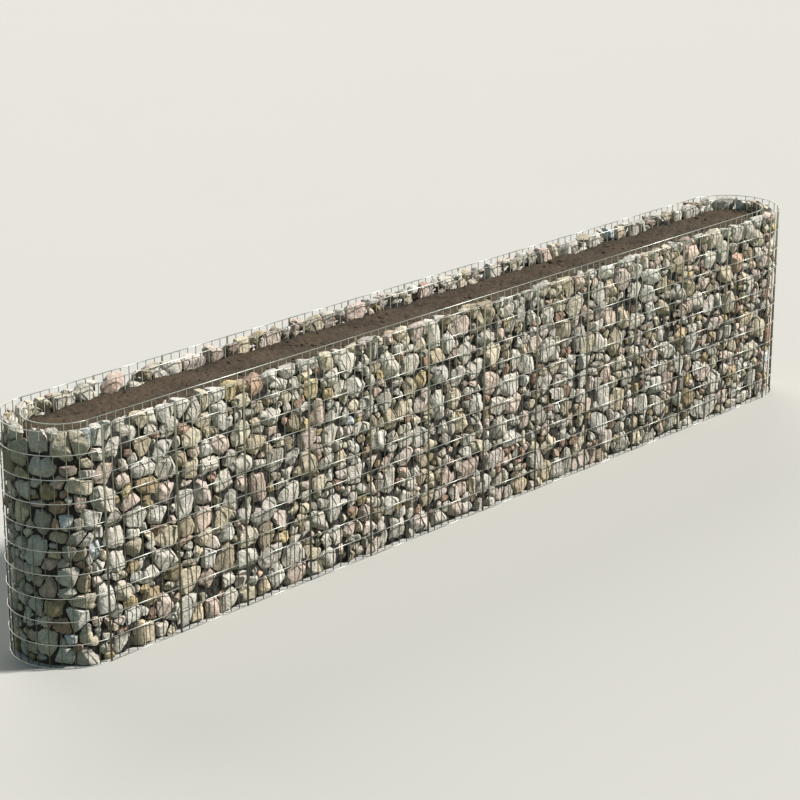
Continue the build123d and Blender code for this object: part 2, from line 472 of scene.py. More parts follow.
def straight_uprights(y):
    """Upright wires between the panels' edges, along one straight side."""
    pitch = BAY / SPACES_PER_BAY
    return [upright_wire(space * pitch - STRAIGHT / 2, y)
            for space in range(1, BAYS * SPACES_PER_BAY) if space % SPACES_PER_BAY]


def arch_uprights(centre_x, start, line):
    """Upright wires round one rounded end."""
    angles = [radians(start + space * 180 / SPACES_PER_ARCH) for space in range(1, SPACES_PER_ARCH)]
    return [upright_wire(centre_x + line * cos(angle), line * sin(angle)) for angle in angles]


def weld_cage(settings, layer, line, upright_line, panels_per_piece, bays_per_panel):
    """Flat panels, half-round panels and upright wires of one cage, in bright zinc and in zinc with painted
    shade.
    """
    finish = ", inner" if layer else ""
    zinc = galvanised_steel("Galvanised steel, hot-dip" + finish, settings.zinc,
                            settings.zinc_roughness, 0.85)
    # Uprights and edge wires get the same zinc, darker, olive and duller: painted shade and a painted
    # reflection of green ground
    dull = galvanised_steel("Galvanised steel, weathered" + finish, settings.shade_painted_zinc,
                            settings.zinc_roughness + 0.2, 0.7)
    panel_word = "panels" if panels_per_piece > 1 else "panel"
    for side, facing in SIDES:
        for piece in range(BAYS // (panels_per_piece * bays_per_panel)):
            parts = []
            for panel in range(panels_per_piece):
                start_x = (piece * panels_per_piece + panel) * bays_per_panel * BAY - STRAIGHT / 2
                parts += flat_panel(facing * line, start_x, bays_per_panel * BAY)
            piece_from(f"{layer}{side}_{panel_word}_{piece + 1}", parts, (zinc, dull),
                       [f"{layer}{side}_mesh_{piece + 1}"])
        piece_from(f"{layer}{side}_uprights", straight_uprights(facing * upright_line), (dull,),
                   [f"{layer}{side}_upright_wires"])
    for side, centre_x, start in ENDS:
        piece_from(f"{layer}{side}_arch_panel", arch_panel(centre_x, start, line), (zinc, dull),
                   [f"{layer}{side}_arch_mesh"])
        piece_from(f"{layer}{side}_arch_uprights", arch_uprights(centre_x, start, upright_line), (dull,),
                   [f"{layer}{side}_arch_upright_wires"])


# Stones

def ball(frequency):
    """Directions and triangles of a ball made of near-equal triangles."""
    golden = (1 + 5 ** 0.5) / 2
    corners = np.array([(-1, golden, 0), (1, golden, 0), (-1, -golden, 0), (1, -golden, 0),
                        (0, -1, golden), (0, 1, golden), (0, -1, -golden), (0, 1, -golden),
                        (golden, 0, -1), (golden, 0, 1), (-golden, 0, -1), (-golden, 0, 1)])
    sides = [(0, 11, 5), (0, 5, 1), (0, 1, 7), (0, 7, 10), (0, 10, 11),
             (1, 5, 9), (5, 11, 4), (11, 10, 2), (10, 7, 6), (7, 1, 8),
             (3, 9, 4), (3, 4, 2), (3, 2, 6), (3, 6, 8), (3, 8, 9),
             (4, 9, 5), (2, 4, 11), (6, 2, 10), (8, 6, 7), (9, 8, 1)]
    points, found, triangles = [], {}, []
    for a, b, c in sides:
        grid = {}
        for i in range(frequency + 1):
            for j in range(frequency + 1 - i):
                point = (corners[a] * (frequency - i - j) + corners[b] * i + corners[c] * j) / frequency
                key = tuple(np.round(point, 6))
                if key not in found:
                    found[key] = len(points)
                    points.append(point / np.linalg.norm(point))
                grid[i, j] = found[key]
        for i in range(frequency):
            for j in range(frequency - i):
                triangles.append((grid[i, j], grid[i + 1, j], grid[i, j + 1]))
                if i + j < frequency - 1:
                    triangles.append((grid[i + 1, j], grid[i + 1, j + 1], grid[i, j + 1]))
    return np.array(points), np.array(triangles)


def crowded_outward(directions, share):
    """Moves directions towards the wall's outer side (+Y), where the stones show."""
    angle = np.arccos(np.clip(directions[:, 1], -1, 1))
    moved = angle - share * np.sin(angle)
    flat = directions[:, [0, 2]]
    flat = flat / np.maximum(np.linalg.norm(flat, axis=1), 1e-9)[:, None]
    return np.stack([flat[:, 0] * np.sin(moved), np.cos(moved), flat[:, 1] * np.sin(moved)], 1)


def run_difference(a, b):
    """Shortest way along the closed run of the wall."""
    return (a - b + WALL_RUN / 2) % WALL_RUN - WALL_RUN / 2


def small_turns(spin, nod, swing):
    """Turns about the depth axis, then about the run, then about the upright axis."""
    count = len(spin)
    result = np.tile(np.eye(3), (count, 1, 1))
    for angle, a, b in ((spin, 2, 0), (nod, 1, 2), (swing, 0, 1)):
        step = np.tile(np.eye(3), (count, 1, 1))
        step[:, a, a] = step[:, b, b] = np.cos(angle)
        step[:, b, a], step[:, a, b] = np.sin(angle), -np.sin(angle)
        result = step @ result
    return result


def block_reach(towards, turns, halves):
    """How far blocks with soft corners reach in given directions."""
    share = np.abs(np.einsum("nij,ni->nj", turns, towards)) / halves
    return (share ** CORNER_POWER).sum(1) ** (-1 / CORNER_POWER)


def axis_reach(axis, turns, halves):
    """How far every block reaches along one axis."""
    return block_reach(np.tile(axis, (len(halves), 1)), turns, halves)


def block_facing(towards, turns, halves):
    """How blocks with soft corners face whatever meets them from given directions."""
    along = np.einsum("nij,ni->nj", turns, towards) / halves
    slope = np.sign(along) * np.abs(along) ** (CORNER_POWER - 1) / halves
    return unit(np.einsum("nij,nj->ni", turns, slope))


def quarried_stones(draws, settings):
    """Half sizes of the stones, longest first, and the turns that lay those sides along the wall."""
    count = settings.stone_count
    small, large = settings.small_stone / 2, settings.large_stone / 2
    is_block = draws.uniform(0, 1, count) < BLOCK_SHARE
    share = np.where(is_block, draws.uniform(*BLOCK_SIZES, count),
                     OTHERS_LARGEST * draws.beta(*SIZE_MIX, count))
    middle = small + (large - small) * share
    shape = np.stack([draws.uniform(*LONG_SIDE, count), np.ones(count), draws.uniform(*SHORT_SIDE, count)], 1)
    halves = middle[:, None] * shape / np.cbrt(shape.prod(1))[:, None]
    # Large stones show a broad face, small ones mostly lie flat, and some of both stand upright
    odds = draws.uniform(0, 1, count)
    lay = np.where(middle > BIG_SHARE * large, np.searchsorted(BIG_LAY, odds, "right"),
                   np.searchsorted(SMALL_LAY, odds, "right"))
    turns = np.array((LAID_FLAT, FACING_OUT, UPRIGHT), float)[lay]
    spin, nod, swing = draws.normal(0, 1, (3, count)) * np.array(TURN_SPREAD)[:, None]
    known = len(KNOWN_STONES)
    halves[:known] = [(stone[2] / 2000, stone[3] / 2000, KNOWN_HALF_DEPTH) for stone in KNOWN_STONES]
    turns[:known] = FACING_OUT
    spin[:known] *= KNOWN_SPIN
    return halves, small_turns(spin, nod, swing) @ turns


def settle_stones(draws, settings, halves, turns):
    """Middles of the stones, pushed apart until they fill the wall."""
    count = len(halves)
    order = np.arange(count)
    centres = np.stack([(order * EVEN_STEPS[0] % 1) * WALL_RUN, draws.uniform(-1, 1, count) * WALL_HALF,
                        (order * EVEN_STEPS[1] % 1) * OVERALL_HEIGHT], 1)
    known = len(KNOWN_STONES)
    centres[:known] = [(stone[0] * BAY / SPACES_PER_BAY % WALL_RUN, WALL_HALF - KNOWN_HALF_DEPTH,
                        stone[1] * LEVEL_PITCH) for stone in KNOWN_STONES]
    held = centres[:known].copy()
    play = np.maximum(WALL_HALF - DEPTH_KEPT * axis_reach((0.0, 1.0, 0.0), turns, halves), LEAST_PLAY)
    tall = HEIGHT_KEPT * axis_reach((0.0, 0.0, 1.0), turns, halves)
    # Only stones that lie near each other along the run can touch
    window = int(LOOKED_OVER * settings.large_stone * count / WALL_RUN)
    longest = halves.max(1)
    for _ in range(PUSHES):
        along = np.argsort(centres[:, 0])
        first = np.repeat(along, window)
        second = along[(order[:, None] + np.arange(1, window + 1)[None, :]).ravel() % count]
        apart = centres[first] - centres[second]
        apart[:, 0] = run_difference(centres[first, 0], centres[second, 0])
        distance = np.linalg.norm(apart, axis=1) + 1e-6
        close = distance < longest[first] + longest[second]
        first, second, apart, distance = first[close], second[close], apart[close], distance[close]
        towards = apart / distance[:, None]
        touching = PACKED * (block_reach(towards, turns[first], halves[first])
                             + block_reach(towards, turns[second], halves[second]))
        push = towards * (PUSH_SHARE * np.clip(touching - distance, 0, None))[:, None]
        np.add.at(centres, first, push)
        np.add.at(centres, second, -push)
        centres[:, 0] %= WALL_RUN
        centres[:, 1] = np.clip(centres[:, 1], -play, play)
        centres[:, 2] = np.clip(centres[:, 2], tall, OVERALL_HEIGHT - tall)
        centres[:known] = held
    return centres


def chinking_stones(draws, centres, halves, turns):
    """Small stones for the holes that the others leave behind the outer cage."""
    added, count = [], CHINK_SPOTS
    for first in np.arange(0, WALL_RUN, CHINK_STRIP):
        spots = np.stack([first + draws.uniform(0, CHINK_STRIP, count),
                          WALL_HALF - draws.uniform(*CHINK_DEPTHS, count),
                          draws.uniform(*CHINK_HEIGHTS, count)], 1)
        from_middle = np.abs(run_difference(centres[:, 0], first + CHINK_STRIP / 2))
        beside = from_middle < CHINK_STRIP / 2 + CHINK_BEYOND
        apart = spots[:, None, :] - centres[beside][None, :, :]
        apart[:, :, 0] = run_difference(spots[:, None, 0], centres[beside][None, :, 0])
        distance = np.linalg.norm(apart, axis=2)
        towards = (apart / distance[:, :, None]).reshape(-1, 3)
        reach = block_reach(towards, np.tile(turns[beside], (count, 1, 1)),
                            np.tile(halves[beside], (count, 1)))
        room = (distance - reach.reshape(distance.shape)).min(1)
        # The roomiest spots come first, and none lies close to another
        for spot in np.argsort(-room):
            if room[spot] < CHINK_ROOM:
                break
            if all(np.linalg.norm(spots[spot] - other) > CHINK_APART * (room[spot] + other_room) + CHINK_SPACE
                   for other, other_room in added):
                added.append((spots[spot], room[spot]))
    spots = np.array([spot for spot, room in added])
    spots[:, 0] %= WALL_RUN
    count = len(added)
    middle = np.clip(np.array([room for spot, room in added]) + CHINK_MORE, *CHINK_SIZES)
    shape = np.stack([draws.uniform(*CHINK_LONG, count), np.ones(count),
                      draws.uniform(*CHINK_SHORT, count)], 1)
    return spots, middle[:, None] * shape, small_turns(*draws.normal(0, CHINK_TURN, (3, count)))


def standing_back(draws, centres, halves):
    """How far each stone stands back from the outer and from the inner cage."""
    count = len(centres)
    # Small stones lie deeper than blocks, and where the wall is loosely filled all do
    small = np.clip((SMALL_SIZES[0] - np.cbrt(halves.prod(1))) / SMALL_SIZES[1], 0, 1)
    waves = sum(np.sin(2 * pi * (centres[:, 0] * a + centres[:, 2] * b)) for a, b in SLACK_WAVES)
    slack = SLACK_DEPTH * np.clip(0.5 * waves / len(SLACK_WAVES) - SLACK_FROM, 0, None)
    back = draws.exponential(BACK_MEAN, (2, count)) + small * draws.uniform(0, BACK_SMALL, (2, count)) + slack
    back[0, :len(KNOWN_STONES)] = draws.uniform(0, BACK_KNOWN, len(KNOWN_STONES))
    return np.minimum(BACK_SCALE * back, BACK_MOST)


def contact_planes(index, centres, halves, turns, back, draws):
    """Planes where a stone meets its neighbours, and where crevices open between them towards both cages."""
    centre, half, turn = centres[index], halves[index], turns[index]
    apart = centres - centre
    apart[:, 0] = run_difference(centres[:, 0], centre[0])
    distance = np.linalg.norm(apart, axis=1)
    near = np.where((distance < NEIGHBOUR_SHARE * (half.max() + halves.max(1))) & (distance > 1e-6))[0]
    distance = distance[near]
    towards = apart[near] / distance[:, None]
    own_turns, own_halves = np.tile(turn, (len(near), 1, 1)), np.tile(half, (len(near), 1))
    ahead = block_reach(towards, own_turns, own_halves)
    beyond = block_reach(towards, turns[near], halves[near])
    normal = unit(ahead[:, None] * block_facing(towards, own_turns, own_halves)
                  + beyond[:, None] * block_facing(towards, turns[near], halves[near])
                  + STRAIGHT_SHARE * (ahead + beyond)[:, None] * towards)
    # Of two stones that meet, the one nearer to the outer cage overlaps the other
    over = np.clip((back[0, near] - back[0, index]) / FULL_OVERLAP_STEP, -1, 1) * (1 - np.abs(normal[:, 1]))
    normal = unit(normal - OVERLAP * over[:, None] * np.array((0.0, 1.0, 0.0)))
    gap = draws.exponential(GAP_MORE, len(near)) + GAP_LEAST
    room = distance * ahead / (ahead + beyond) * (normal * towards).sum(1) - gap
    normals, offsets = [normal], [room]
    beside = np.abs(normal[:, 1]) < SIDEWAYS
    count = beside.sum()
    for side in (1, -1):
        slope = np.clip(draws.normal(CREVICE_SLOPE, CREVICE_SPREAD, count), 0, CREVICE_STEEPEST)
        normals.append(unit(normal[beside] + slope[:, None] * np.array((0.0, side, 0.0))))
        offsets.append(room[beside] * draws.uniform(*CREVICE_START, count))
    return normals, offsets


def own_planes(half, turn, draws):
    """A stone's own six faces, and its corners broken off."""
    normals, offsets = [], []
    for sign in (1, -1):
        normals.append(sign * turn.T)
        offsets.append(half * draws.uniform(*OWN_FACES, 3))
    count = BROKEN_CORNERS
    corners = unit((draws.choice((-1, 1), (count, 3)) * draws.uniform(*CORNER_SKEW, (count, 3))) @ turn.T)
    normals.append(corners)
    offsets.append(block_reach(corners, np.tile(turn, (count, 1, 1)), np.tile(half, (count, 1)))
                   * draws.uniform(*CORNER_CUT, count))
    return normals, offsets


def broken_planes(centre, size, back, draws):
    """Facets against both cages, which lean their own way and so catch the light, and top and bottom."""
    normals, offsets = [], []
    for side, set_back in zip((1, -1), back):
        room = WALL_HALF - side * centre[1]
        first_way = draws.uniform(0, 2 * pi)
        for place, (steepness, aside) in enumerate(BROKEN_FACES[draws.integers(len(BROKEN_FACES))]):
            way = first_way + place * pi * draws.uniform(*FACET_TURN)
            lean = steepness * draws.uniform(*FACET_LEAN)
            normal = unit(np.array((lean * cos(way), side, lean * sin(way))))
            touch = np.array((aside * size * cos(way), side * (room - draws.uniform(0, FACE_PLAY) - set_back),
                              aside * size * sin(way)))
            normals.append(normal)
            offsets.append(max(normal @ touch, SPARED_BY_BREAKS * size))
    lean = draws.normal(0, TOP_LEAN, 2)
    normals += [unit(np.array((lean[0], lean[1], 1.0))), np.array((0, 0, -1.0))]
    offsets += [OVERALL_HEIGHT - END_MARGIN - centre[2] - draws.uniform(0, TOP_PLAY), centre[2] - END_MARGIN]
    return [np.array(normals)], [np.array(offsets)]


def way_to(distance, rise):
    """How far directions may reach before they have risen by a distance."""
    return np.where(rise > 1e-3, distance / np.maximum(rise, 1e-3), OVERALL_LENGTH)


def stone_shape(index, centres, halves, turns, back, directions, draws):
    """Distances from a stone's centre to its surface: contacts, own faces, broken faces and small hollows."""
    centre, half, turn = centres[index], halves[index], turns[index]
    size = np.cbrt(half.prod())
    contacts = contact_planes(index, centres, halves, turns, back, draws)
    own = own_planes(half, turn, draws)
    broken = broken_planes(centre, size, back[:, index], draws)
    normals, offsets = (np.concatenate(contacts[part] + own[part] + broken[part]) for part in (0, 1))
    offsets = np.maximum(offsets, SPARED * size)
    sharpness = draws.choice(EDGE_SHARPNESS, p=SHARPNESS_ODDS)
    facing = np.clip(directions @ normals.T, 0, None) / offsets
    # Powers of numbers near one keep their precision
    largest = facing.max(1)
    reach = 1 / (largest * ((facing / largest[:, None]) ** sharpness).sum(1) ** (1 / sharpness))
    # Hollows and ripples go only inward, and mostly where they show
    surface = directions * reach[:, None]
    shown = HIDDEN_ROUGH + (1 - HIDDEN_ROUGH) * np.abs(directions[:, 1])
    waves = unit(draws.normal(0, 1, (HOLLOW_WAVES, 3))) * (2 * pi / HOLLOW_LENGTH)
    hollows = np.abs(np.sin(surface @ waves.T + draws.uniform(0, 2 * pi, HOLLOW_WAVES))).sum(1) / HOLLOW_WAVES
    waves = unit(draws.normal(0, 1, (RIPPLE_WAVES, 3))) * (2 * pi / RIPPLE_LENGTH)
    ripples = np.sin(surface @ waves.T + draws.uniform(0, 2 * pi, RIPPLE_WAVES))
    ripples = 0.5 + 0.5 * ripples.sum(1) / RIPPLE_WAVES
    reach = reach * (1 - shown * (HOLLOW_DEPTH * hollows + RIPPLE_DEPTH * ripples))
    # Never past the cages, the rim or the ground
    return np.minimum.reduce([reach, way_to(WALL_HALF - centre[1], directions[:, 1]),
                              way_to(WALL_HALF + centre[1], -directions[:, 1]),
                              way_to(OVERALL_HEIGHT - LAST_MARGIN - centre[2], directions[:, 2]),
                              way_to(centre[2] - LAST_MARGIN, -directions[:, 2])])


def stone_colour(index, size, draws):
    """A stone's kind and tint: large blocks are mostly pale, the small rubble between them is darker."""
    kind = int(draws.choice(len(STONE_KINDS), p=KIND_ODDS[int(size < SMALL_KIND_SIZE)]))
    tone = draws.uniform(0, 1)
    light = np.interp(size, LIGHT_SIZES, LIGHT_SHARES) * draws.uniform(*LIGHT_SPREAD)
    if index < len(KNOWN_STONES):
        kind = KIND_NAMES.index(KNOWN_STONES[index][4])
        tone, light = KNOWN_STONES[index][5], 1.0
    shades = np.array([linear(shade) for shade in STONE_KINDS[kind][2]])
    tint = np.array([np.interp(tone * (len(shades) - 1), range(len(shades)), shades[:, channel])
                     for channel in range(3)])
    return kind, tint * min(light, PALEST / tint.max())


def rolled(points):
    """Bends unrolled points (run, depth, height) round the bed, into the frame."""
    run = points[:, 0] % WALL_RUN
    line = WALL_MIDDLE + points[:, 1]
    result = np.empty_like(points)
    result[:, 2] = points[:, 2]
    # Each long side is followed by a rounded end, and the second pair takes over where it starts
    for start, facing in ((0.0, -1), (STRAIGHT + ARCH_RUN, 1)):
        along = run - start
        flat = (along >= 0) & (along < STRAIGHT)
        result[flat, 0], result[flat, 1] = facing * (STRAIGHT / 2 - along[flat]), facing * line[flat]
        bent = along >= STRAIGHT
        angle = facing * pi / 2 + (along[bent] - STRAIGHT) / RUN_RADIUS
        result[bent, 0] = line[bent] * np.cos(angle) - facing * STRAIGHT / 2
        result[bent, 1] = line[bent] * np.sin(angle)
    return result


def wall_group(run):
    """The CAD node of the stones at a place along the run."""
    groups = BAYS // BAYS_PER_GROUP
    group = STRAIGHT / groups
    arch_part = ARCH_RUN / STONE_PARTS_PER_ARCH
    if run < STRAIGHT:
        return f"front_stones_{int(run / group) + 1}"
    if run < STRAIGHT + ARCH_RUN:
        return f"right_arch_stones_{int((run - STRAIGHT) / arch_part) + 1}"
    if run < 2 * STRAIGHT + ARCH_RUN:
        return f"back_stones_{groups - int((run - STRAIGHT - ARCH_RUN) / group)}"
    return f"left_arch_stones_{int((run - 2 * STRAIGHT - ARCH_RUN) / arch_part) + 1}"


def joined_stones(node, stones, materials):
    """Joins stones, each its vertices, triangles, kind, tint and grain, into the piece for a node."""
    starts = np.cumsum([0] + [len(stone[0]) for stone in stones])
    faces = np.concatenate([stone[1] + first for stone, first in zip(stones, starts)])
    kinds = np.concatenate([np.full(len(stone[1]), stone[2]) for stone in stones])
    colours = np.concatenate([np.tile(rgba(stone[3]), (len(stone[0]), 1)) for stone in stones])
    grains = np.concatenate([stone[4] for stone in stones])
    name = "packed_" + node
    mesh = bpy.data.meshes.new(name)
    mesh.from_pydata(np.concatenate([stone[0] for stone in stones]).tolist(), [], faces.tolist())
    tint = mesh.attributes.new("tint", "FLOAT_COLOR", "POINT")
    tint.data.foreach_set("color", colours.astype(np.float32).ravel())
    grain = mesh.attributes.new("grain", "FLOAT_VECTOR", "POINT")
    grain.data.foreach_set("vector", grains.astype(np.float32).ravel())
    finished(name, mesh, materials, kinds, [node], STONE_CREASE)


# Soil

def soil_bed(draws, top):
    """Vertices and faces of the soil: a wavy, lumpy surface with straight walls down to the ground."""
    reach = STRAIGHT / 2 + SOIL_RADIUS
    columns, rows = int(round(2 * reach / SOIL_STEP)), int(round(2 * SOIL_RADIUS / SOIL_STEP))
    across = np.linspace(-1, 1, rows + 1)
    along = np.linspace(-reach, reach, columns + 1)
    beyond = np.clip(np.abs(along) - STRAIGHT / 2, 0, SOIL_RADIUS * BLUNT_END)
    half = np.sqrt(SOIL_RADIUS ** 2 - beyond ** 2)
    x = np.repeat(along, rows + 1)
    y = (half[:, None] * across[None, :]).ravel()
    height = np.zeros(len(x))
    for size, depth in SOIL_WAVES:
        for _ in range(WAVES_PER_LENGTH):
            angle = draws.uniform(0, 2 * pi)
            wave = 2 * pi / (size * draws.uniform(*WAVE_SPREAD))
            height += (depth / WAVES_PER_LENGTH
                       * np.sin(wave * (x * cos(angle) + y * sin(angle)) + draws.uniform(0, 2 * pi)))
    height += draws.uniform(-SOIL_UNEVEN, SOIL_UNEVEN, len(x))
    height = np.minimum(height - SOIL_LOWER, -SOIL_LEAST)
    width = rows + 1
    faces = [(a + k, a + width + k, a + width + k + 1, a + k + 1)
             for a in range(0, columns * width, width) for k in range(rows)]
    rim = ([column * width for column in range(columns + 1)]
           + [columns * width + row for row in range(1, width)]
           + [column * width + rows for column in range(columns - 1, -1, -1)]
           + [row for row in range(rows - 1, 0, -1)])
    bottom = {corner: len(x) + place for place, corner in enumerate(rim)}
    faces += [(corner, bottom[corner], bottom[following], following)
              for corner, following in zip(rim, rim[1:] + rim[:1])]
    faces.append(tuple(bottom[corner] for corner in rim[::-1]))
    lower = np.stack([x, y, np.zeros(len(x))], 1)[rim]
    return np.concatenate([np.stack([x, y, top + height], 1), lower]), faces, 0


def soil_crumbs(draws, top, count):
    """Vertices and faces of crumbs and clods that lie half sunk in the soil."""
    directions, triangles = ball(1)
    crumbs = []
    for _ in range(count):
        size = min(CRUMB_SIZE * np.exp(draws.normal(0, CRUMB_SPREAD)), LARGEST_CRUMB)
        x = draws.uniform(-STRAIGHT / 2 - SOIL_RADIUS, STRAIGHT / 2 + SOIL_RADIUS)
        room = sqrt(max(SOIL_RADIUS ** 2 - max(abs(x) - STRAIGHT / 2, 0) ** 2, 0)) - CRUMB_ROOM * size
        if room < 0:
            continue
        middle = np.array((x, draws.uniform(-room, room), top - CRUMB_SUNK))
        stretch = draws.uniform(*CRUMB_STRETCH, 3) * size * CRUMB_FLAT
        crumbs.append(directions * stretch * draws.uniform(*CRUMB_UNEVEN, (len(directions), 1)) + middle)
    faces = [triangles + number * len(directions) for number in range(len(crumbs))]
    return np.concatenate(crumbs), np.concatenate(faces), 0


# Materials

def galvanised_steel(name, colour, roughness, metallic):
    """Steel wire, hot-dip galvanised: a dull grey zinc skin with cloudy patches about 30 mm long."""
    material, tree, output = new_material(name)
    place = add_node(tree, "ShaderNodeNewGeometry")
    cloud = add_node(tree, "ShaderNodeTexNoise", {"noise_dimensions": "3D"},
                     {"Vector": place.outputs["Position"], "Scale": 1 / 0.030, "Detail": 3.0})
    tone = add_node(tree, "ShaderNodeMapRange", {},
                    {"Value": cloud.outputs["Fac"], "From Min": 0.3, "From Max": 0.7,
                     "To Min": 0.82, "To Max": 1.1})
    zinc = add_node(tree, "ShaderNodeMix", {"data_type": "RGBA", "blend_type": "MULTIPLY"},
                    {"Factor": 1.0, 6: rgba(colour), 7: tone.outputs["Result"]})
    dull = add_node(tree, "ShaderNodeMapRange", {},
                    {"Value": cloud.outputs["Fac"], "From Min": 0.3, "From Max": 0.7,
                     "To Min": roughness + 0.03, "To Max": roughness - 0.03})
    shader = add_node(tree, "ShaderNodeBsdfPrincipled", {},
                      {"Base Color": zinc.outputs[2], "Metallic": metallic,
                       "Roughness": dull.outputs["Result"]})
    tree.links.new(shader.outputs[0], output.inputs[0])
    return material


def field_stone(name, bedded, mottle, cracked, roughness):
    """Rough field stone: each has its own tint, with mottling, faint beds, dark cracks, pale worn edges and
    painted shade in its hollows.

    The mottling is 26 mm wide, the beds are 15 mm thick, and the cracks cut lumps of 55 mm. The grain is
    about 1 mm wide, too fine to show, and so is drawn 8 mm wide.
    """
    material, tree, output = new_material(name)
    vector = add_node(tree, "ShaderNodeAttribute", {"attribute_name": "grain"}).outputs["Vector"]
    tint = add_node(tree, "ShaderNodeAttribute", {"attribute_name": "tint"})
    patches = add_node(tree, "ShaderNodeTexNoise", {"noise_dimensions": "3D"},
                       {"Vector": vector, "Scale": 1 / 0.026, "Detail": 5.0, "Roughness": 0.62})
    fine = add_node(tree, "ShaderNodeTexNoise", {"noise_dimensions": "3D"},
                    {"Vector": vector, "Scale": 1 / 0.008, "Detail": 4.0, "Roughness": 0.65})
    beds = add_node(tree, "ShaderNodeTexWave", {"bands_direction": "X"},
                    {"Vector": vector, "Scale": BAND_AT_SCALE_ONE / 0.015, "Distortion": 2.2, "Detail": 3.0,
                     "Detail Scale": 1.2, "Detail Roughness": 0.6})
    # Cracks a few millimetres wide run through the stone, bent by the patches
    bent = add_node(tree, "ShaderNodeVectorMath", {"operation": "MULTIPLY_ADD"},
                    {0: patches.outputs["Color"], 1: (0.035, 0.035, 0.035), 2: vector})
    cracks = add_node(tree, "ShaderNodeTexVoronoi", {"feature": "DISTANCE_TO_EDGE"},
                      {"Vector": bent.outputs[0], "Scale": 1 / 0.055})
    shape = add_node(tree, "ShaderNodeNewGeometry")
    # Each pattern, its range, and the darkest and the lightest that it makes the tint
    shade = 1.0
    for pattern, low, high, darkest, lightest in (
            (patches.outputs["Fac"], 0.32, 0.68, 1 - mottle, 1 + mottle * 0.7),
            (fine.outputs["Fac"], 0.3, 0.7, 0.74, 1.18),
            (beds.outputs["Fac"], 0.0, 0.5, 1 - bedded, 1.0),
            (cracks.outputs["Distance"], 0.0, 0.05, 1 - cracked, 1.0),
            # Pointiness: paler on convex edges as wear, and darker in hollows and creases as painted shade
            (shape.outputs["Pointiness"], 0.46, 0.58, 0.88, 1.18)):
        tone = add_node(tree, "ShaderNodeMapRange", {},
                        {"Value": pattern, "From Min": low, "From Max": high,
                         "To Min": darkest, "To Max": lightest})
        product = add_node(tree, "ShaderNodeMath", {"operation": "MULTIPLY"},
                           {0: shade, 1: tone.outputs["Result"]})
        shade = product.outputs[0]
    colour = add_node(tree, "ShaderNodeMix", {"data_type": "RGBA", "blend_type": "MULTIPLY"},
                      {"Factor": 1.0, 6: tint.outputs["Color"], 7: shade})
    heights = add_node(tree, "ShaderNodeMath", {"operation": "MULTIPLY_ADD"},
                       {0: beds.outputs["Fac"], 1: bedded * 1.2, 2: fine.outputs["Fac"]})
    bump = add_node(tree, "ShaderNodeBump", {},
                    {"Strength": 0.9, "Distance": 0.004, "Height": heights.outputs[0]})
    broad = add_node(tree, "ShaderNodeBump", {},
                     {"Strength": 0.7, "Distance": 0.012, "Height": patches.outputs["Fac"],
                      "Normal": bump.outputs["Normal"]})
    shader = add_node(tree, "ShaderNodeBsdfPrincipled", {},
                      {"Base Color": colour.outputs[2], "Roughness": roughness, "Specular IOR Level": 0.3,
                       "Normal": broad.outputs["Normal"]})
    tree.links.new(shader.outputs[0], output.inputs[0])
    return material


def shade_dark_rubble(name, colour):
    """Rubble and earth deep in the wall, in lumps of 28 mm, painted near black as the shade between the
    stones.
    """
    material, tree, output = new_material(name)
    place = add_node(tree, "ShaderNodeNewGeometry")
    lumps = add_node(tree, "ShaderNodeTexVoronoi", {"voronoi_dimensions": "3D"},
                     {"Vector": place.outputs["Position"], "Scale": 1 / 0.028})
    # Each lump is paler in its middle and darker towards its edges: painted shade between the lumps
    tone = add_node(tree, "ShaderNodeMapRange", {},
                    {"Value": lumps.outputs["Distance"], "From Min": 0.0, "From Max": 0.8,
                     "To Min": 1.2, "To Max": 0.25})
    mix = add_node(tree, "ShaderNodeMix", {"data_type": "RGBA", "blend_type": "MULTIPLY"},
                   {"Factor": 1.0, 6: rgba(colour), 7: tone.outputs["Result"]})
    bump = add_node(tree, "ShaderNodeBump", {"invert": True},
                    {"Strength": 1.0, "Distance": 0.012, "Height": lumps.outputs["Distance"]})
    shader = add_node(tree, "ShaderNodeBsdfPrincipled", {},
                      {"Base Color": mix.outputs[2], "Roughness": 0.95, "Normal": bump.outputs["Normal"]})
    tree.links.new(shader.outputs[0], output.inputs[0])
    return material


def garden_soil(name, dark, light):
    """Moist garden soil: matt, with crumbs of 12 mm, paler than its hollows, and damp patches 150 mm wide."""
    material, tree, output = new_material(name)
    place = add_node(tree, "ShaderNodeNewGeometry")
    crumbs = add_node(tree, "ShaderNodeTexNoise", {"noise_dimensions": "3D"},
                      {"Vector": place.outputs["Position"], "Scale": 1 / 0.012, "Detail": 6.0,
                       "Roughness": 0.7})
    damp = add_node(tree, "ShaderNodeTexNoise", {"noise_dimensions": "3D"},
                    {"Vector": place.outputs["Position"], "Scale": 1 / 0.15, "Detail": 2.0})
    mixed = add_node(tree, "ShaderNodeMath", {"operation": "MULTIPLY_ADD"},
                     {0: damp.outputs["Fac"], 1: 0.5, 2: crumbs.outputs["Fac"]})
    share = add_node(tree, "ShaderNodeMapRange", {},
                     {"Value": mixed.outputs[0], "From Min": 0.55, "From Max": 0.95})
    colour = add_node(tree, "ShaderNodeMix", {"data_type": "RGBA"},
                      {"Factor": share.outputs["Result"], 6: rgba(dark), 7: rgba(light)})
    bump = add_node(tree, "ShaderNodeBump", {},
                    {"Strength": 1.0, "Distance": 0.006, "Height": crumbs.outputs["Fac"]})
    shader = add_node(tree, "ShaderNodeBsdfPrincipled", {},
                      {"Base Color": colour.outputs[2], "Roughness": 0.95, "Specular IOR Level": 0.2,
                       "Normal": bump.outputs["Normal"]})
    tree.links.new(shader.outputs[0], output.inputs[0])
    return material


# Stage

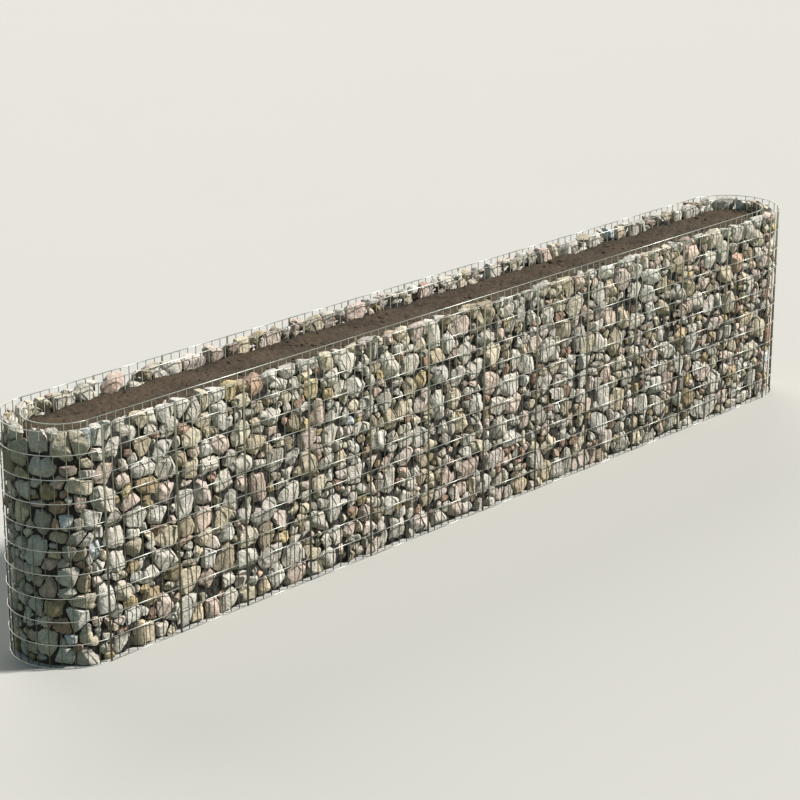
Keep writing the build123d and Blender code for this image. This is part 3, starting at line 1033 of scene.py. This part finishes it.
def seen_directly(tree):
    """A socket that is one where the camera, a reflection or something clear shows the stage itself."""
    rays = add_node(tree, "ShaderNodeLightPath")
    seen = add_node(tree, "ShaderNodeMath", {"operation": "MAXIMUM"},
                    {0: rays.outputs["Is Camera Ray"], 1: rays.outputs["Is Glossy Ray"]})
    seen = add_node(tree, "ShaderNodeMath", {"operation": "MAXIMUM"},
                    {0: seen.outputs[0], 1: rays.outputs["Is Transmission Ray"]})
    return seen.outputs[0]


def matt_floor_paint(name, colour):
    """Matt pale floor paint, very slightly cloudy over 1.5 m, which throws back less light than it shows."""
    material, tree, output = new_material(name)
    place = add_node(tree, "ShaderNodeNewGeometry")
    cloud = add_node(tree, "ShaderNodeTexNoise", {"noise_dimensions": "3D"},
                     {"Vector": place.outputs["Position"], "Scale": 1 / 1.5})
    tone = add_node(tree, "ShaderNodeMapRange", {},
                    {"Value": cloud.outputs["Fac"], "To Min": 0.985, "To Max": 1.0})
    paint = add_node(tree, "ShaderNodeMix", {"data_type": "RGBA", "blend_type": "MULTIPLY"},
                     {"Factor": 1.0, 6: rgba(colour), 7: tone.outputs["Result"]})
    shown = add_node(tree, "ShaderNodeMix", {"data_type": "RGBA"},
                     {"Factor": seen_directly(tree), 6: rgba(linear(BOUNCE_COLOUR)), 7: paint.outputs[2]})
    shader = add_node(tree, "ShaderNodeBsdfPrincipled", {},
                      {"Base Color": shown.outputs[2], "Roughness": 0.9, "Specular IOR Level": 0.1})
    tree.links.new(shader.outputs[0], output.inputs[0])
    return material


def studio_world(fill):
    """Even light from all round, and near white where the camera or a reflection sees it."""
    world = bpy.data.worlds.new("Studio")
    world.use_nodes = True
    tree = world.node_tree
    tree.nodes.clear()
    output = add_node(tree, "ShaderNodeOutputWorld")
    even = add_node(tree, "ShaderNodeBackground", {}, {"Color": rgba(linear(FILL_COLOUR)), "Strength": fill})
    backdrop = add_node(tree, "ShaderNodeBackground", {},
                        {"Color": rgba(linear(BACKDROP_COLOUR)), "Strength": 1.0})
    mix = add_node(tree, "ShaderNodeMixShader", {},
                   {0: seen_directly(tree), 1: even.outputs[0], 2: backdrop.outputs[0]})
    tree.links.new(mix.outputs[0], output.inputs[0])
    return world


# Settings that a user would change

class GabionCageSettings(bpy.types.PropertyGroup):
    """Colours of the wires"""
    zinc: FloatVectorProperty(name="Zinc", description="Colour of the galvanised wires", subtype="COLOR",
                              default=linear("A2A69E"), min=0, max=1)
    # Darker olive zinc of the upright and edge wires: painted shade and a painted reflection of green ground
    shade_painted_zinc: FloatVectorProperty(name="Zinc, painted shade and reflection", description="Colour of the upright wires",
                                   subtype="COLOR", default=linear("666957"), min=0, max=1)
    zinc_roughness: FloatProperty(name="Zinc roughness", description="How dull the zinc is",
                                  default=0.42, min=0.1, max=0.9, subtype="FACTOR")


class GabionStoneSettings(bpy.types.PropertyGroup):
    """Number and sizes of the stones"""
    stone_count: IntProperty(name="Stones", description="Stones in the whole wall", default=1480,
                             min=200, max=2600)
    small_stone: FloatProperty(name="Smallest stone", description="Width of the smallest stones",
                               default=0.034, min=0.02, max=0.08, unit="LENGTH", subtype="DISTANCE")
    large_stone: FloatProperty(name="Largest stone", description="Width of the largest stones",
                               default=0.118, min=0.08, max=0.16, unit="LENGTH", subtype="DISTANCE")
    seed: IntProperty(name="Seed", description="Changes which stone lies where", default=7, min=0)


class GabionSoilSettings(bpy.types.PropertyGroup):
    """Level, crumbs and colours of the soil"""
    soil_below_rim: FloatProperty(name="Soil below rim", description="From the rim down to the soil",
                                  default=0.05, min=0.02, max=0.3, unit="LENGTH", subtype="DISTANCE")
    crumbs: IntProperty(name="Crumbs", description="Crumbs and clods on the soil", default=1100,
                        min=1, max=6000)
    dark: FloatVectorProperty(name="Soil in hollows", description="Colour of the soil's hollows", subtype="COLOR",
                              default=linear("2B241D"), min=0, max=1)
    light: FloatVectorProperty(name="Soil on crumbs", description="Colour of the soil's crumbs", subtype="COLOR",
                               default=linear("514536"), min=0, max=1)


class GabionStageSettings(bpy.types.PropertyGroup):
    """Floor and lights of the stage"""
    floor: FloatVectorProperty(name="Floor", description="Colour of the studio floor", subtype="COLOR",
                               default=linear("B3B1AD"), min=0, max=1)
    key: FloatProperty(name="Key light", description="Strength of the key light", default=6.9, min=0, max=10)
    fill: FloatProperty(name="Fill light", description="Strength of the light from all round", default=0.13,
                        min=0, max=2)
    side: FloatProperty(name="Side light", description="Strength of the cool soft light on the left end",
                        default=0.5, min=0, max=5)
    back: FloatProperty(name="Back light", description="Strength of the soft light on the back",
                        default=2.6, min=0, max=5)


# Operators

class GABION_OT_outer_cage(bpy.types.Operator):
    """Outer cage: flat and half-round welded wire panels and their upright wires"""
    bl_idname = "gabion.outer_cage"
    bl_label = "Outer cage"

    def execute(self, context):
        weld_cage(context.scene.gabion_cage, "", OUTER_LINE, OUTER_UPRIGHT_LINE, BAYS_PER_GROUP, 1)
        return {"FINISHED"}


class GABION_OT_inner_cage(bpy.types.Operator):
    """Inner cage round the trough"""
    bl_idname = "gabion.inner_cage"
    bl_label = "Inner cage"

    def execute(self, context):
        weld_cage(context.scene.gabion_cage, "inner_", INNER_LINE, INNER_UPRIGHT_LINE, 1,
                  BAYS_PER_INNER_PANEL)
        return {"FINISHED"}


class GABION_OT_stones(bpy.types.Operator):
    """Stones packed between the two cages"""
    bl_idname = "gabion.stones"
    bl_label = "Stones"

    def execute(self, context):
        settings = context.scene.gabion_stones
        draws = np.random.default_rng(settings.seed)
        halves, turns = quarried_stones(draws, settings)
        centres = settle_stones(draws, settings, halves, turns)
        chinks = chinking_stones(draws, centres, halves, turns)
        centres, halves, turns = (np.concatenate(pair) for pair in zip((centres, halves, turns), chinks))
        size = np.cbrt(halves.prod(1))
        back = standing_back(draws, centres, halves)
        # The smallest stones and those that lie behind others need fewer triangles
        balls = [(crowded_outward(directions, CROWDING), triangles)
                 for directions, triangles in map(ball, BALL_FINENESS)]
        outermost = centres[:, 1] + axis_reach((0.0, 1.0, 0.0), turns, halves)
        hidden = (outermost < HIDDEN_REACH) & (centres[:, 2] < HIDDEN_BELOW)
        fine = (size > FINE_SIZE) & ~hidden
        groups = {}
        for index in range(len(centres)):
            directions, triangles = balls[int(fine[index])]
            local = directions * stone_shape(index, centres, halves, turns, back, directions, draws)[:, None]
            kind, tint = stone_colour(index, size[index], draws)
            # Bedding lies square to the short side
            grain = (local @ turns[index][:, ::-1] * draws.uniform(*GRAIN_SCALE)
                     + draws.uniform(-GRAIN_SHIFT, GRAIN_SHIFT, 3))
            groups.setdefault(wall_group(centres[index, 0]), []).append(
                (rolled(local + centres[index]), triangles, kind, tint, grain))
        materials = [field_stone(*kind[3:]) for kind in STONE_KINDS]
        for node, stones in sorted(groups.items()):
            joined_stones(node, stones, materials)
        return {"FINISHED"}


class GABION_OT_rubble(bpy.types.Operator):
    """Rubble deep in the wall, behind the stones that show, painted near black as shade"""
    bl_idname = "gabion.rubble"
    bl_label = "Rubble core"

    def execute(self, context):
        draws = np.random.default_rng(context.scene.gabion_stones.seed + 1)
        levels = np.arange(CORE_BOTTOM, CORE_TOP + CORE_STEP / 2, CORE_STEP)
        outline = np.array([(CORE_HALF, z) for z in levels] + [(-CORE_HALF, z) for z in levels[::-1]])
        stations, count = int(WALL_RUN / CORE_STEP), len(outline)
        run = np.repeat(np.arange(stations) * WALL_RUN / stations, count)
        points = np.column_stack([run, np.tile(outline, (stations, 1))])
        points[:, 1] += draws.uniform(-CORE_LUMPS, CORE_LUMPS, len(points))
        faces = []
        for station in range(stations):
            a, b = station * count, (station + 1) % stations * count
            faces += [(a + k, a + (k + 1) % count, b + (k + 1) % count, b + k) for k in range(count)]
        rubble = shade_dark_rubble("Rubble and earth, packed", linear(CORE_SHADE_COLOUR))
        piece_from("rubble_core", [(rolled(points), faces, 0)], (rubble,), [])
        return {"FINISHED"}


class GABION_OT_soil(bpy.types.Operator):
    """Crumbly soil in the trough"""
    bl_idname = "gabion.soil"
    bl_label = "Soil"

    def execute(self, context):
        settings = context.scene.gabion_soil
        draws = np.random.default_rng(SOIL_SEED)
        top = OVERALL_HEIGHT - settings.soil_below_rim
        parts = [soil_bed(draws, top), soil_crumbs(draws, top, settings.crumbs)]
        soil = garden_soil("Garden soil, moist", settings.dark, settings.light)
        piece_from("soil", parts, (soil,), ["soil_fill"])
        return {"FINISHED"}


class GABION_OT_stage(bpy.types.Operator):
    """Pale floor, soft studio light and the camera"""
    bl_idname = "gabion.stage"
    bl_label = "Stage"

    def execute(self, context):
        settings = context.scene.gabion_stage
        scene = context.scene
        scene.view_settings.view_transform = "Standard"

        mesh = bpy.data.meshes.new("studio_floor")
        corners = [(x * FLOOR_HALF, y * FLOOR_HALF, 0) for x, y in ((-1, -1), (1, -1), (1, 1), (-1, 1))]
        mesh.from_pydata(corners, [], [(0, 1, 2, 3)])
        mesh.materials.append(matt_floor_paint("Studio floor, matt paint", settings.floor))
        floor = bpy.data.objects.new("studio_floor", mesh)
        scene.collection.objects.link(floor)
        scene.world = studio_world(settings.fill)

        for name, strength, softness, colour, way in LAMPS:
            data = bpy.data.lights.new(name, "SUN")
            data.energy, data.angle, data.color = getattr(settings, strength), radians(softness), colour
            lamp = bpy.data.objects.new(name, data)
            lamp.rotation_euler = Vector(way).to_track_quat("-Z", "Y").to_euler()
            scene.collection.objects.link(lamp)

        camera_data = bpy.data.cameras.new("Camera")
        camera_data.sensor_width = SENSOR_WIDTH
        camera_data.lens = FOCAL_PIXELS / PHOTO_PIXELS * SENSOR_WIDTH
        camera_data.clip_end = 200.0
        camera = bpy.data.objects.new("Camera", camera_data)
        yaw, pitch = radians(CAMERA_YAW), radians(CAMERA_PITCH)
        forward = Vector((sin(yaw) * cos(pitch), cos(yaw) * cos(pitch), -sin(pitch)))
        camera.location = CAMERA_PLACE
        camera.rotation_euler = forward.to_track_quat("-Z", "Y").to_euler()
        scene.collection.objects.link(camera)
        scene.camera = camera
        return {"FINISHED"}


class GABION_PT_panel(bpy.types.Panel):
    """Lists the bed's pieces and their settings"""
    bl_idname = "GABION_PT_panel"
    bl_label = "Gabion raised bed"
    bl_space_type = "VIEW_3D"
    bl_region_type = "UI"
    bl_category = "Gabion bed"

    def draw(self, context):
        for scene_name, _ in SETTINGS:
            group = getattr(context.scene, scene_name)
            box = self.layout.box()
            for name in group.bl_rna.properties.keys():
                if name not in ("rna_type", "name"):
                    box.prop(group, name)
        for operator in OPERATORS:
            self.layout.operator(operator.bl_idname)


OPERATORS = (GABION_OT_stage, GABION_OT_outer_cage, GABION_OT_inner_cage, GABION_OT_stones, GABION_OT_rubble,
             GABION_OT_soil)
SETTINGS = (("gabion_cage", GabionCageSettings), ("gabion_stones", GabionStoneSettings),
            ("gabion_soil", GabionSoilSettings), ("gabion_stage", GabionStageSettings))


def register():
    """Registers the settings, the operators and the panel."""
    for name, group in SETTINGS:
        bpy.utils.register_class(group)
        setattr(bpy.types.Scene, name, PointerProperty(type=group))
    for operator in OPERATORS:
        bpy.utils.register_class(operator)
    bpy.utils.register_class(GABION_PT_panel)


def unregister():
    """Takes back what register did, in the opposite order."""
    bpy.utils.unregister_class(GABION_PT_panel)
    for operator in reversed(OPERATORS):
        bpy.utils.unregister_class(operator)
    for name, group in reversed(SETTINGS):
        delattr(bpy.types.Scene, name)
        bpy.utils.unregister_class(group)


def main():
    """Builds the whole bed and its stage."""
    register()
    bpy.ops.gabion.stage()
    bpy.ops.gabion.outer_cage()
    bpy.ops.gabion.inner_cage()
    bpy.ops.gabion.stones()
    bpy.ops.gabion.rubble()
    bpy.ops.gabion.soil()
    bpy.context.view_layer.update()


if __name__ == "__main__":
    main()
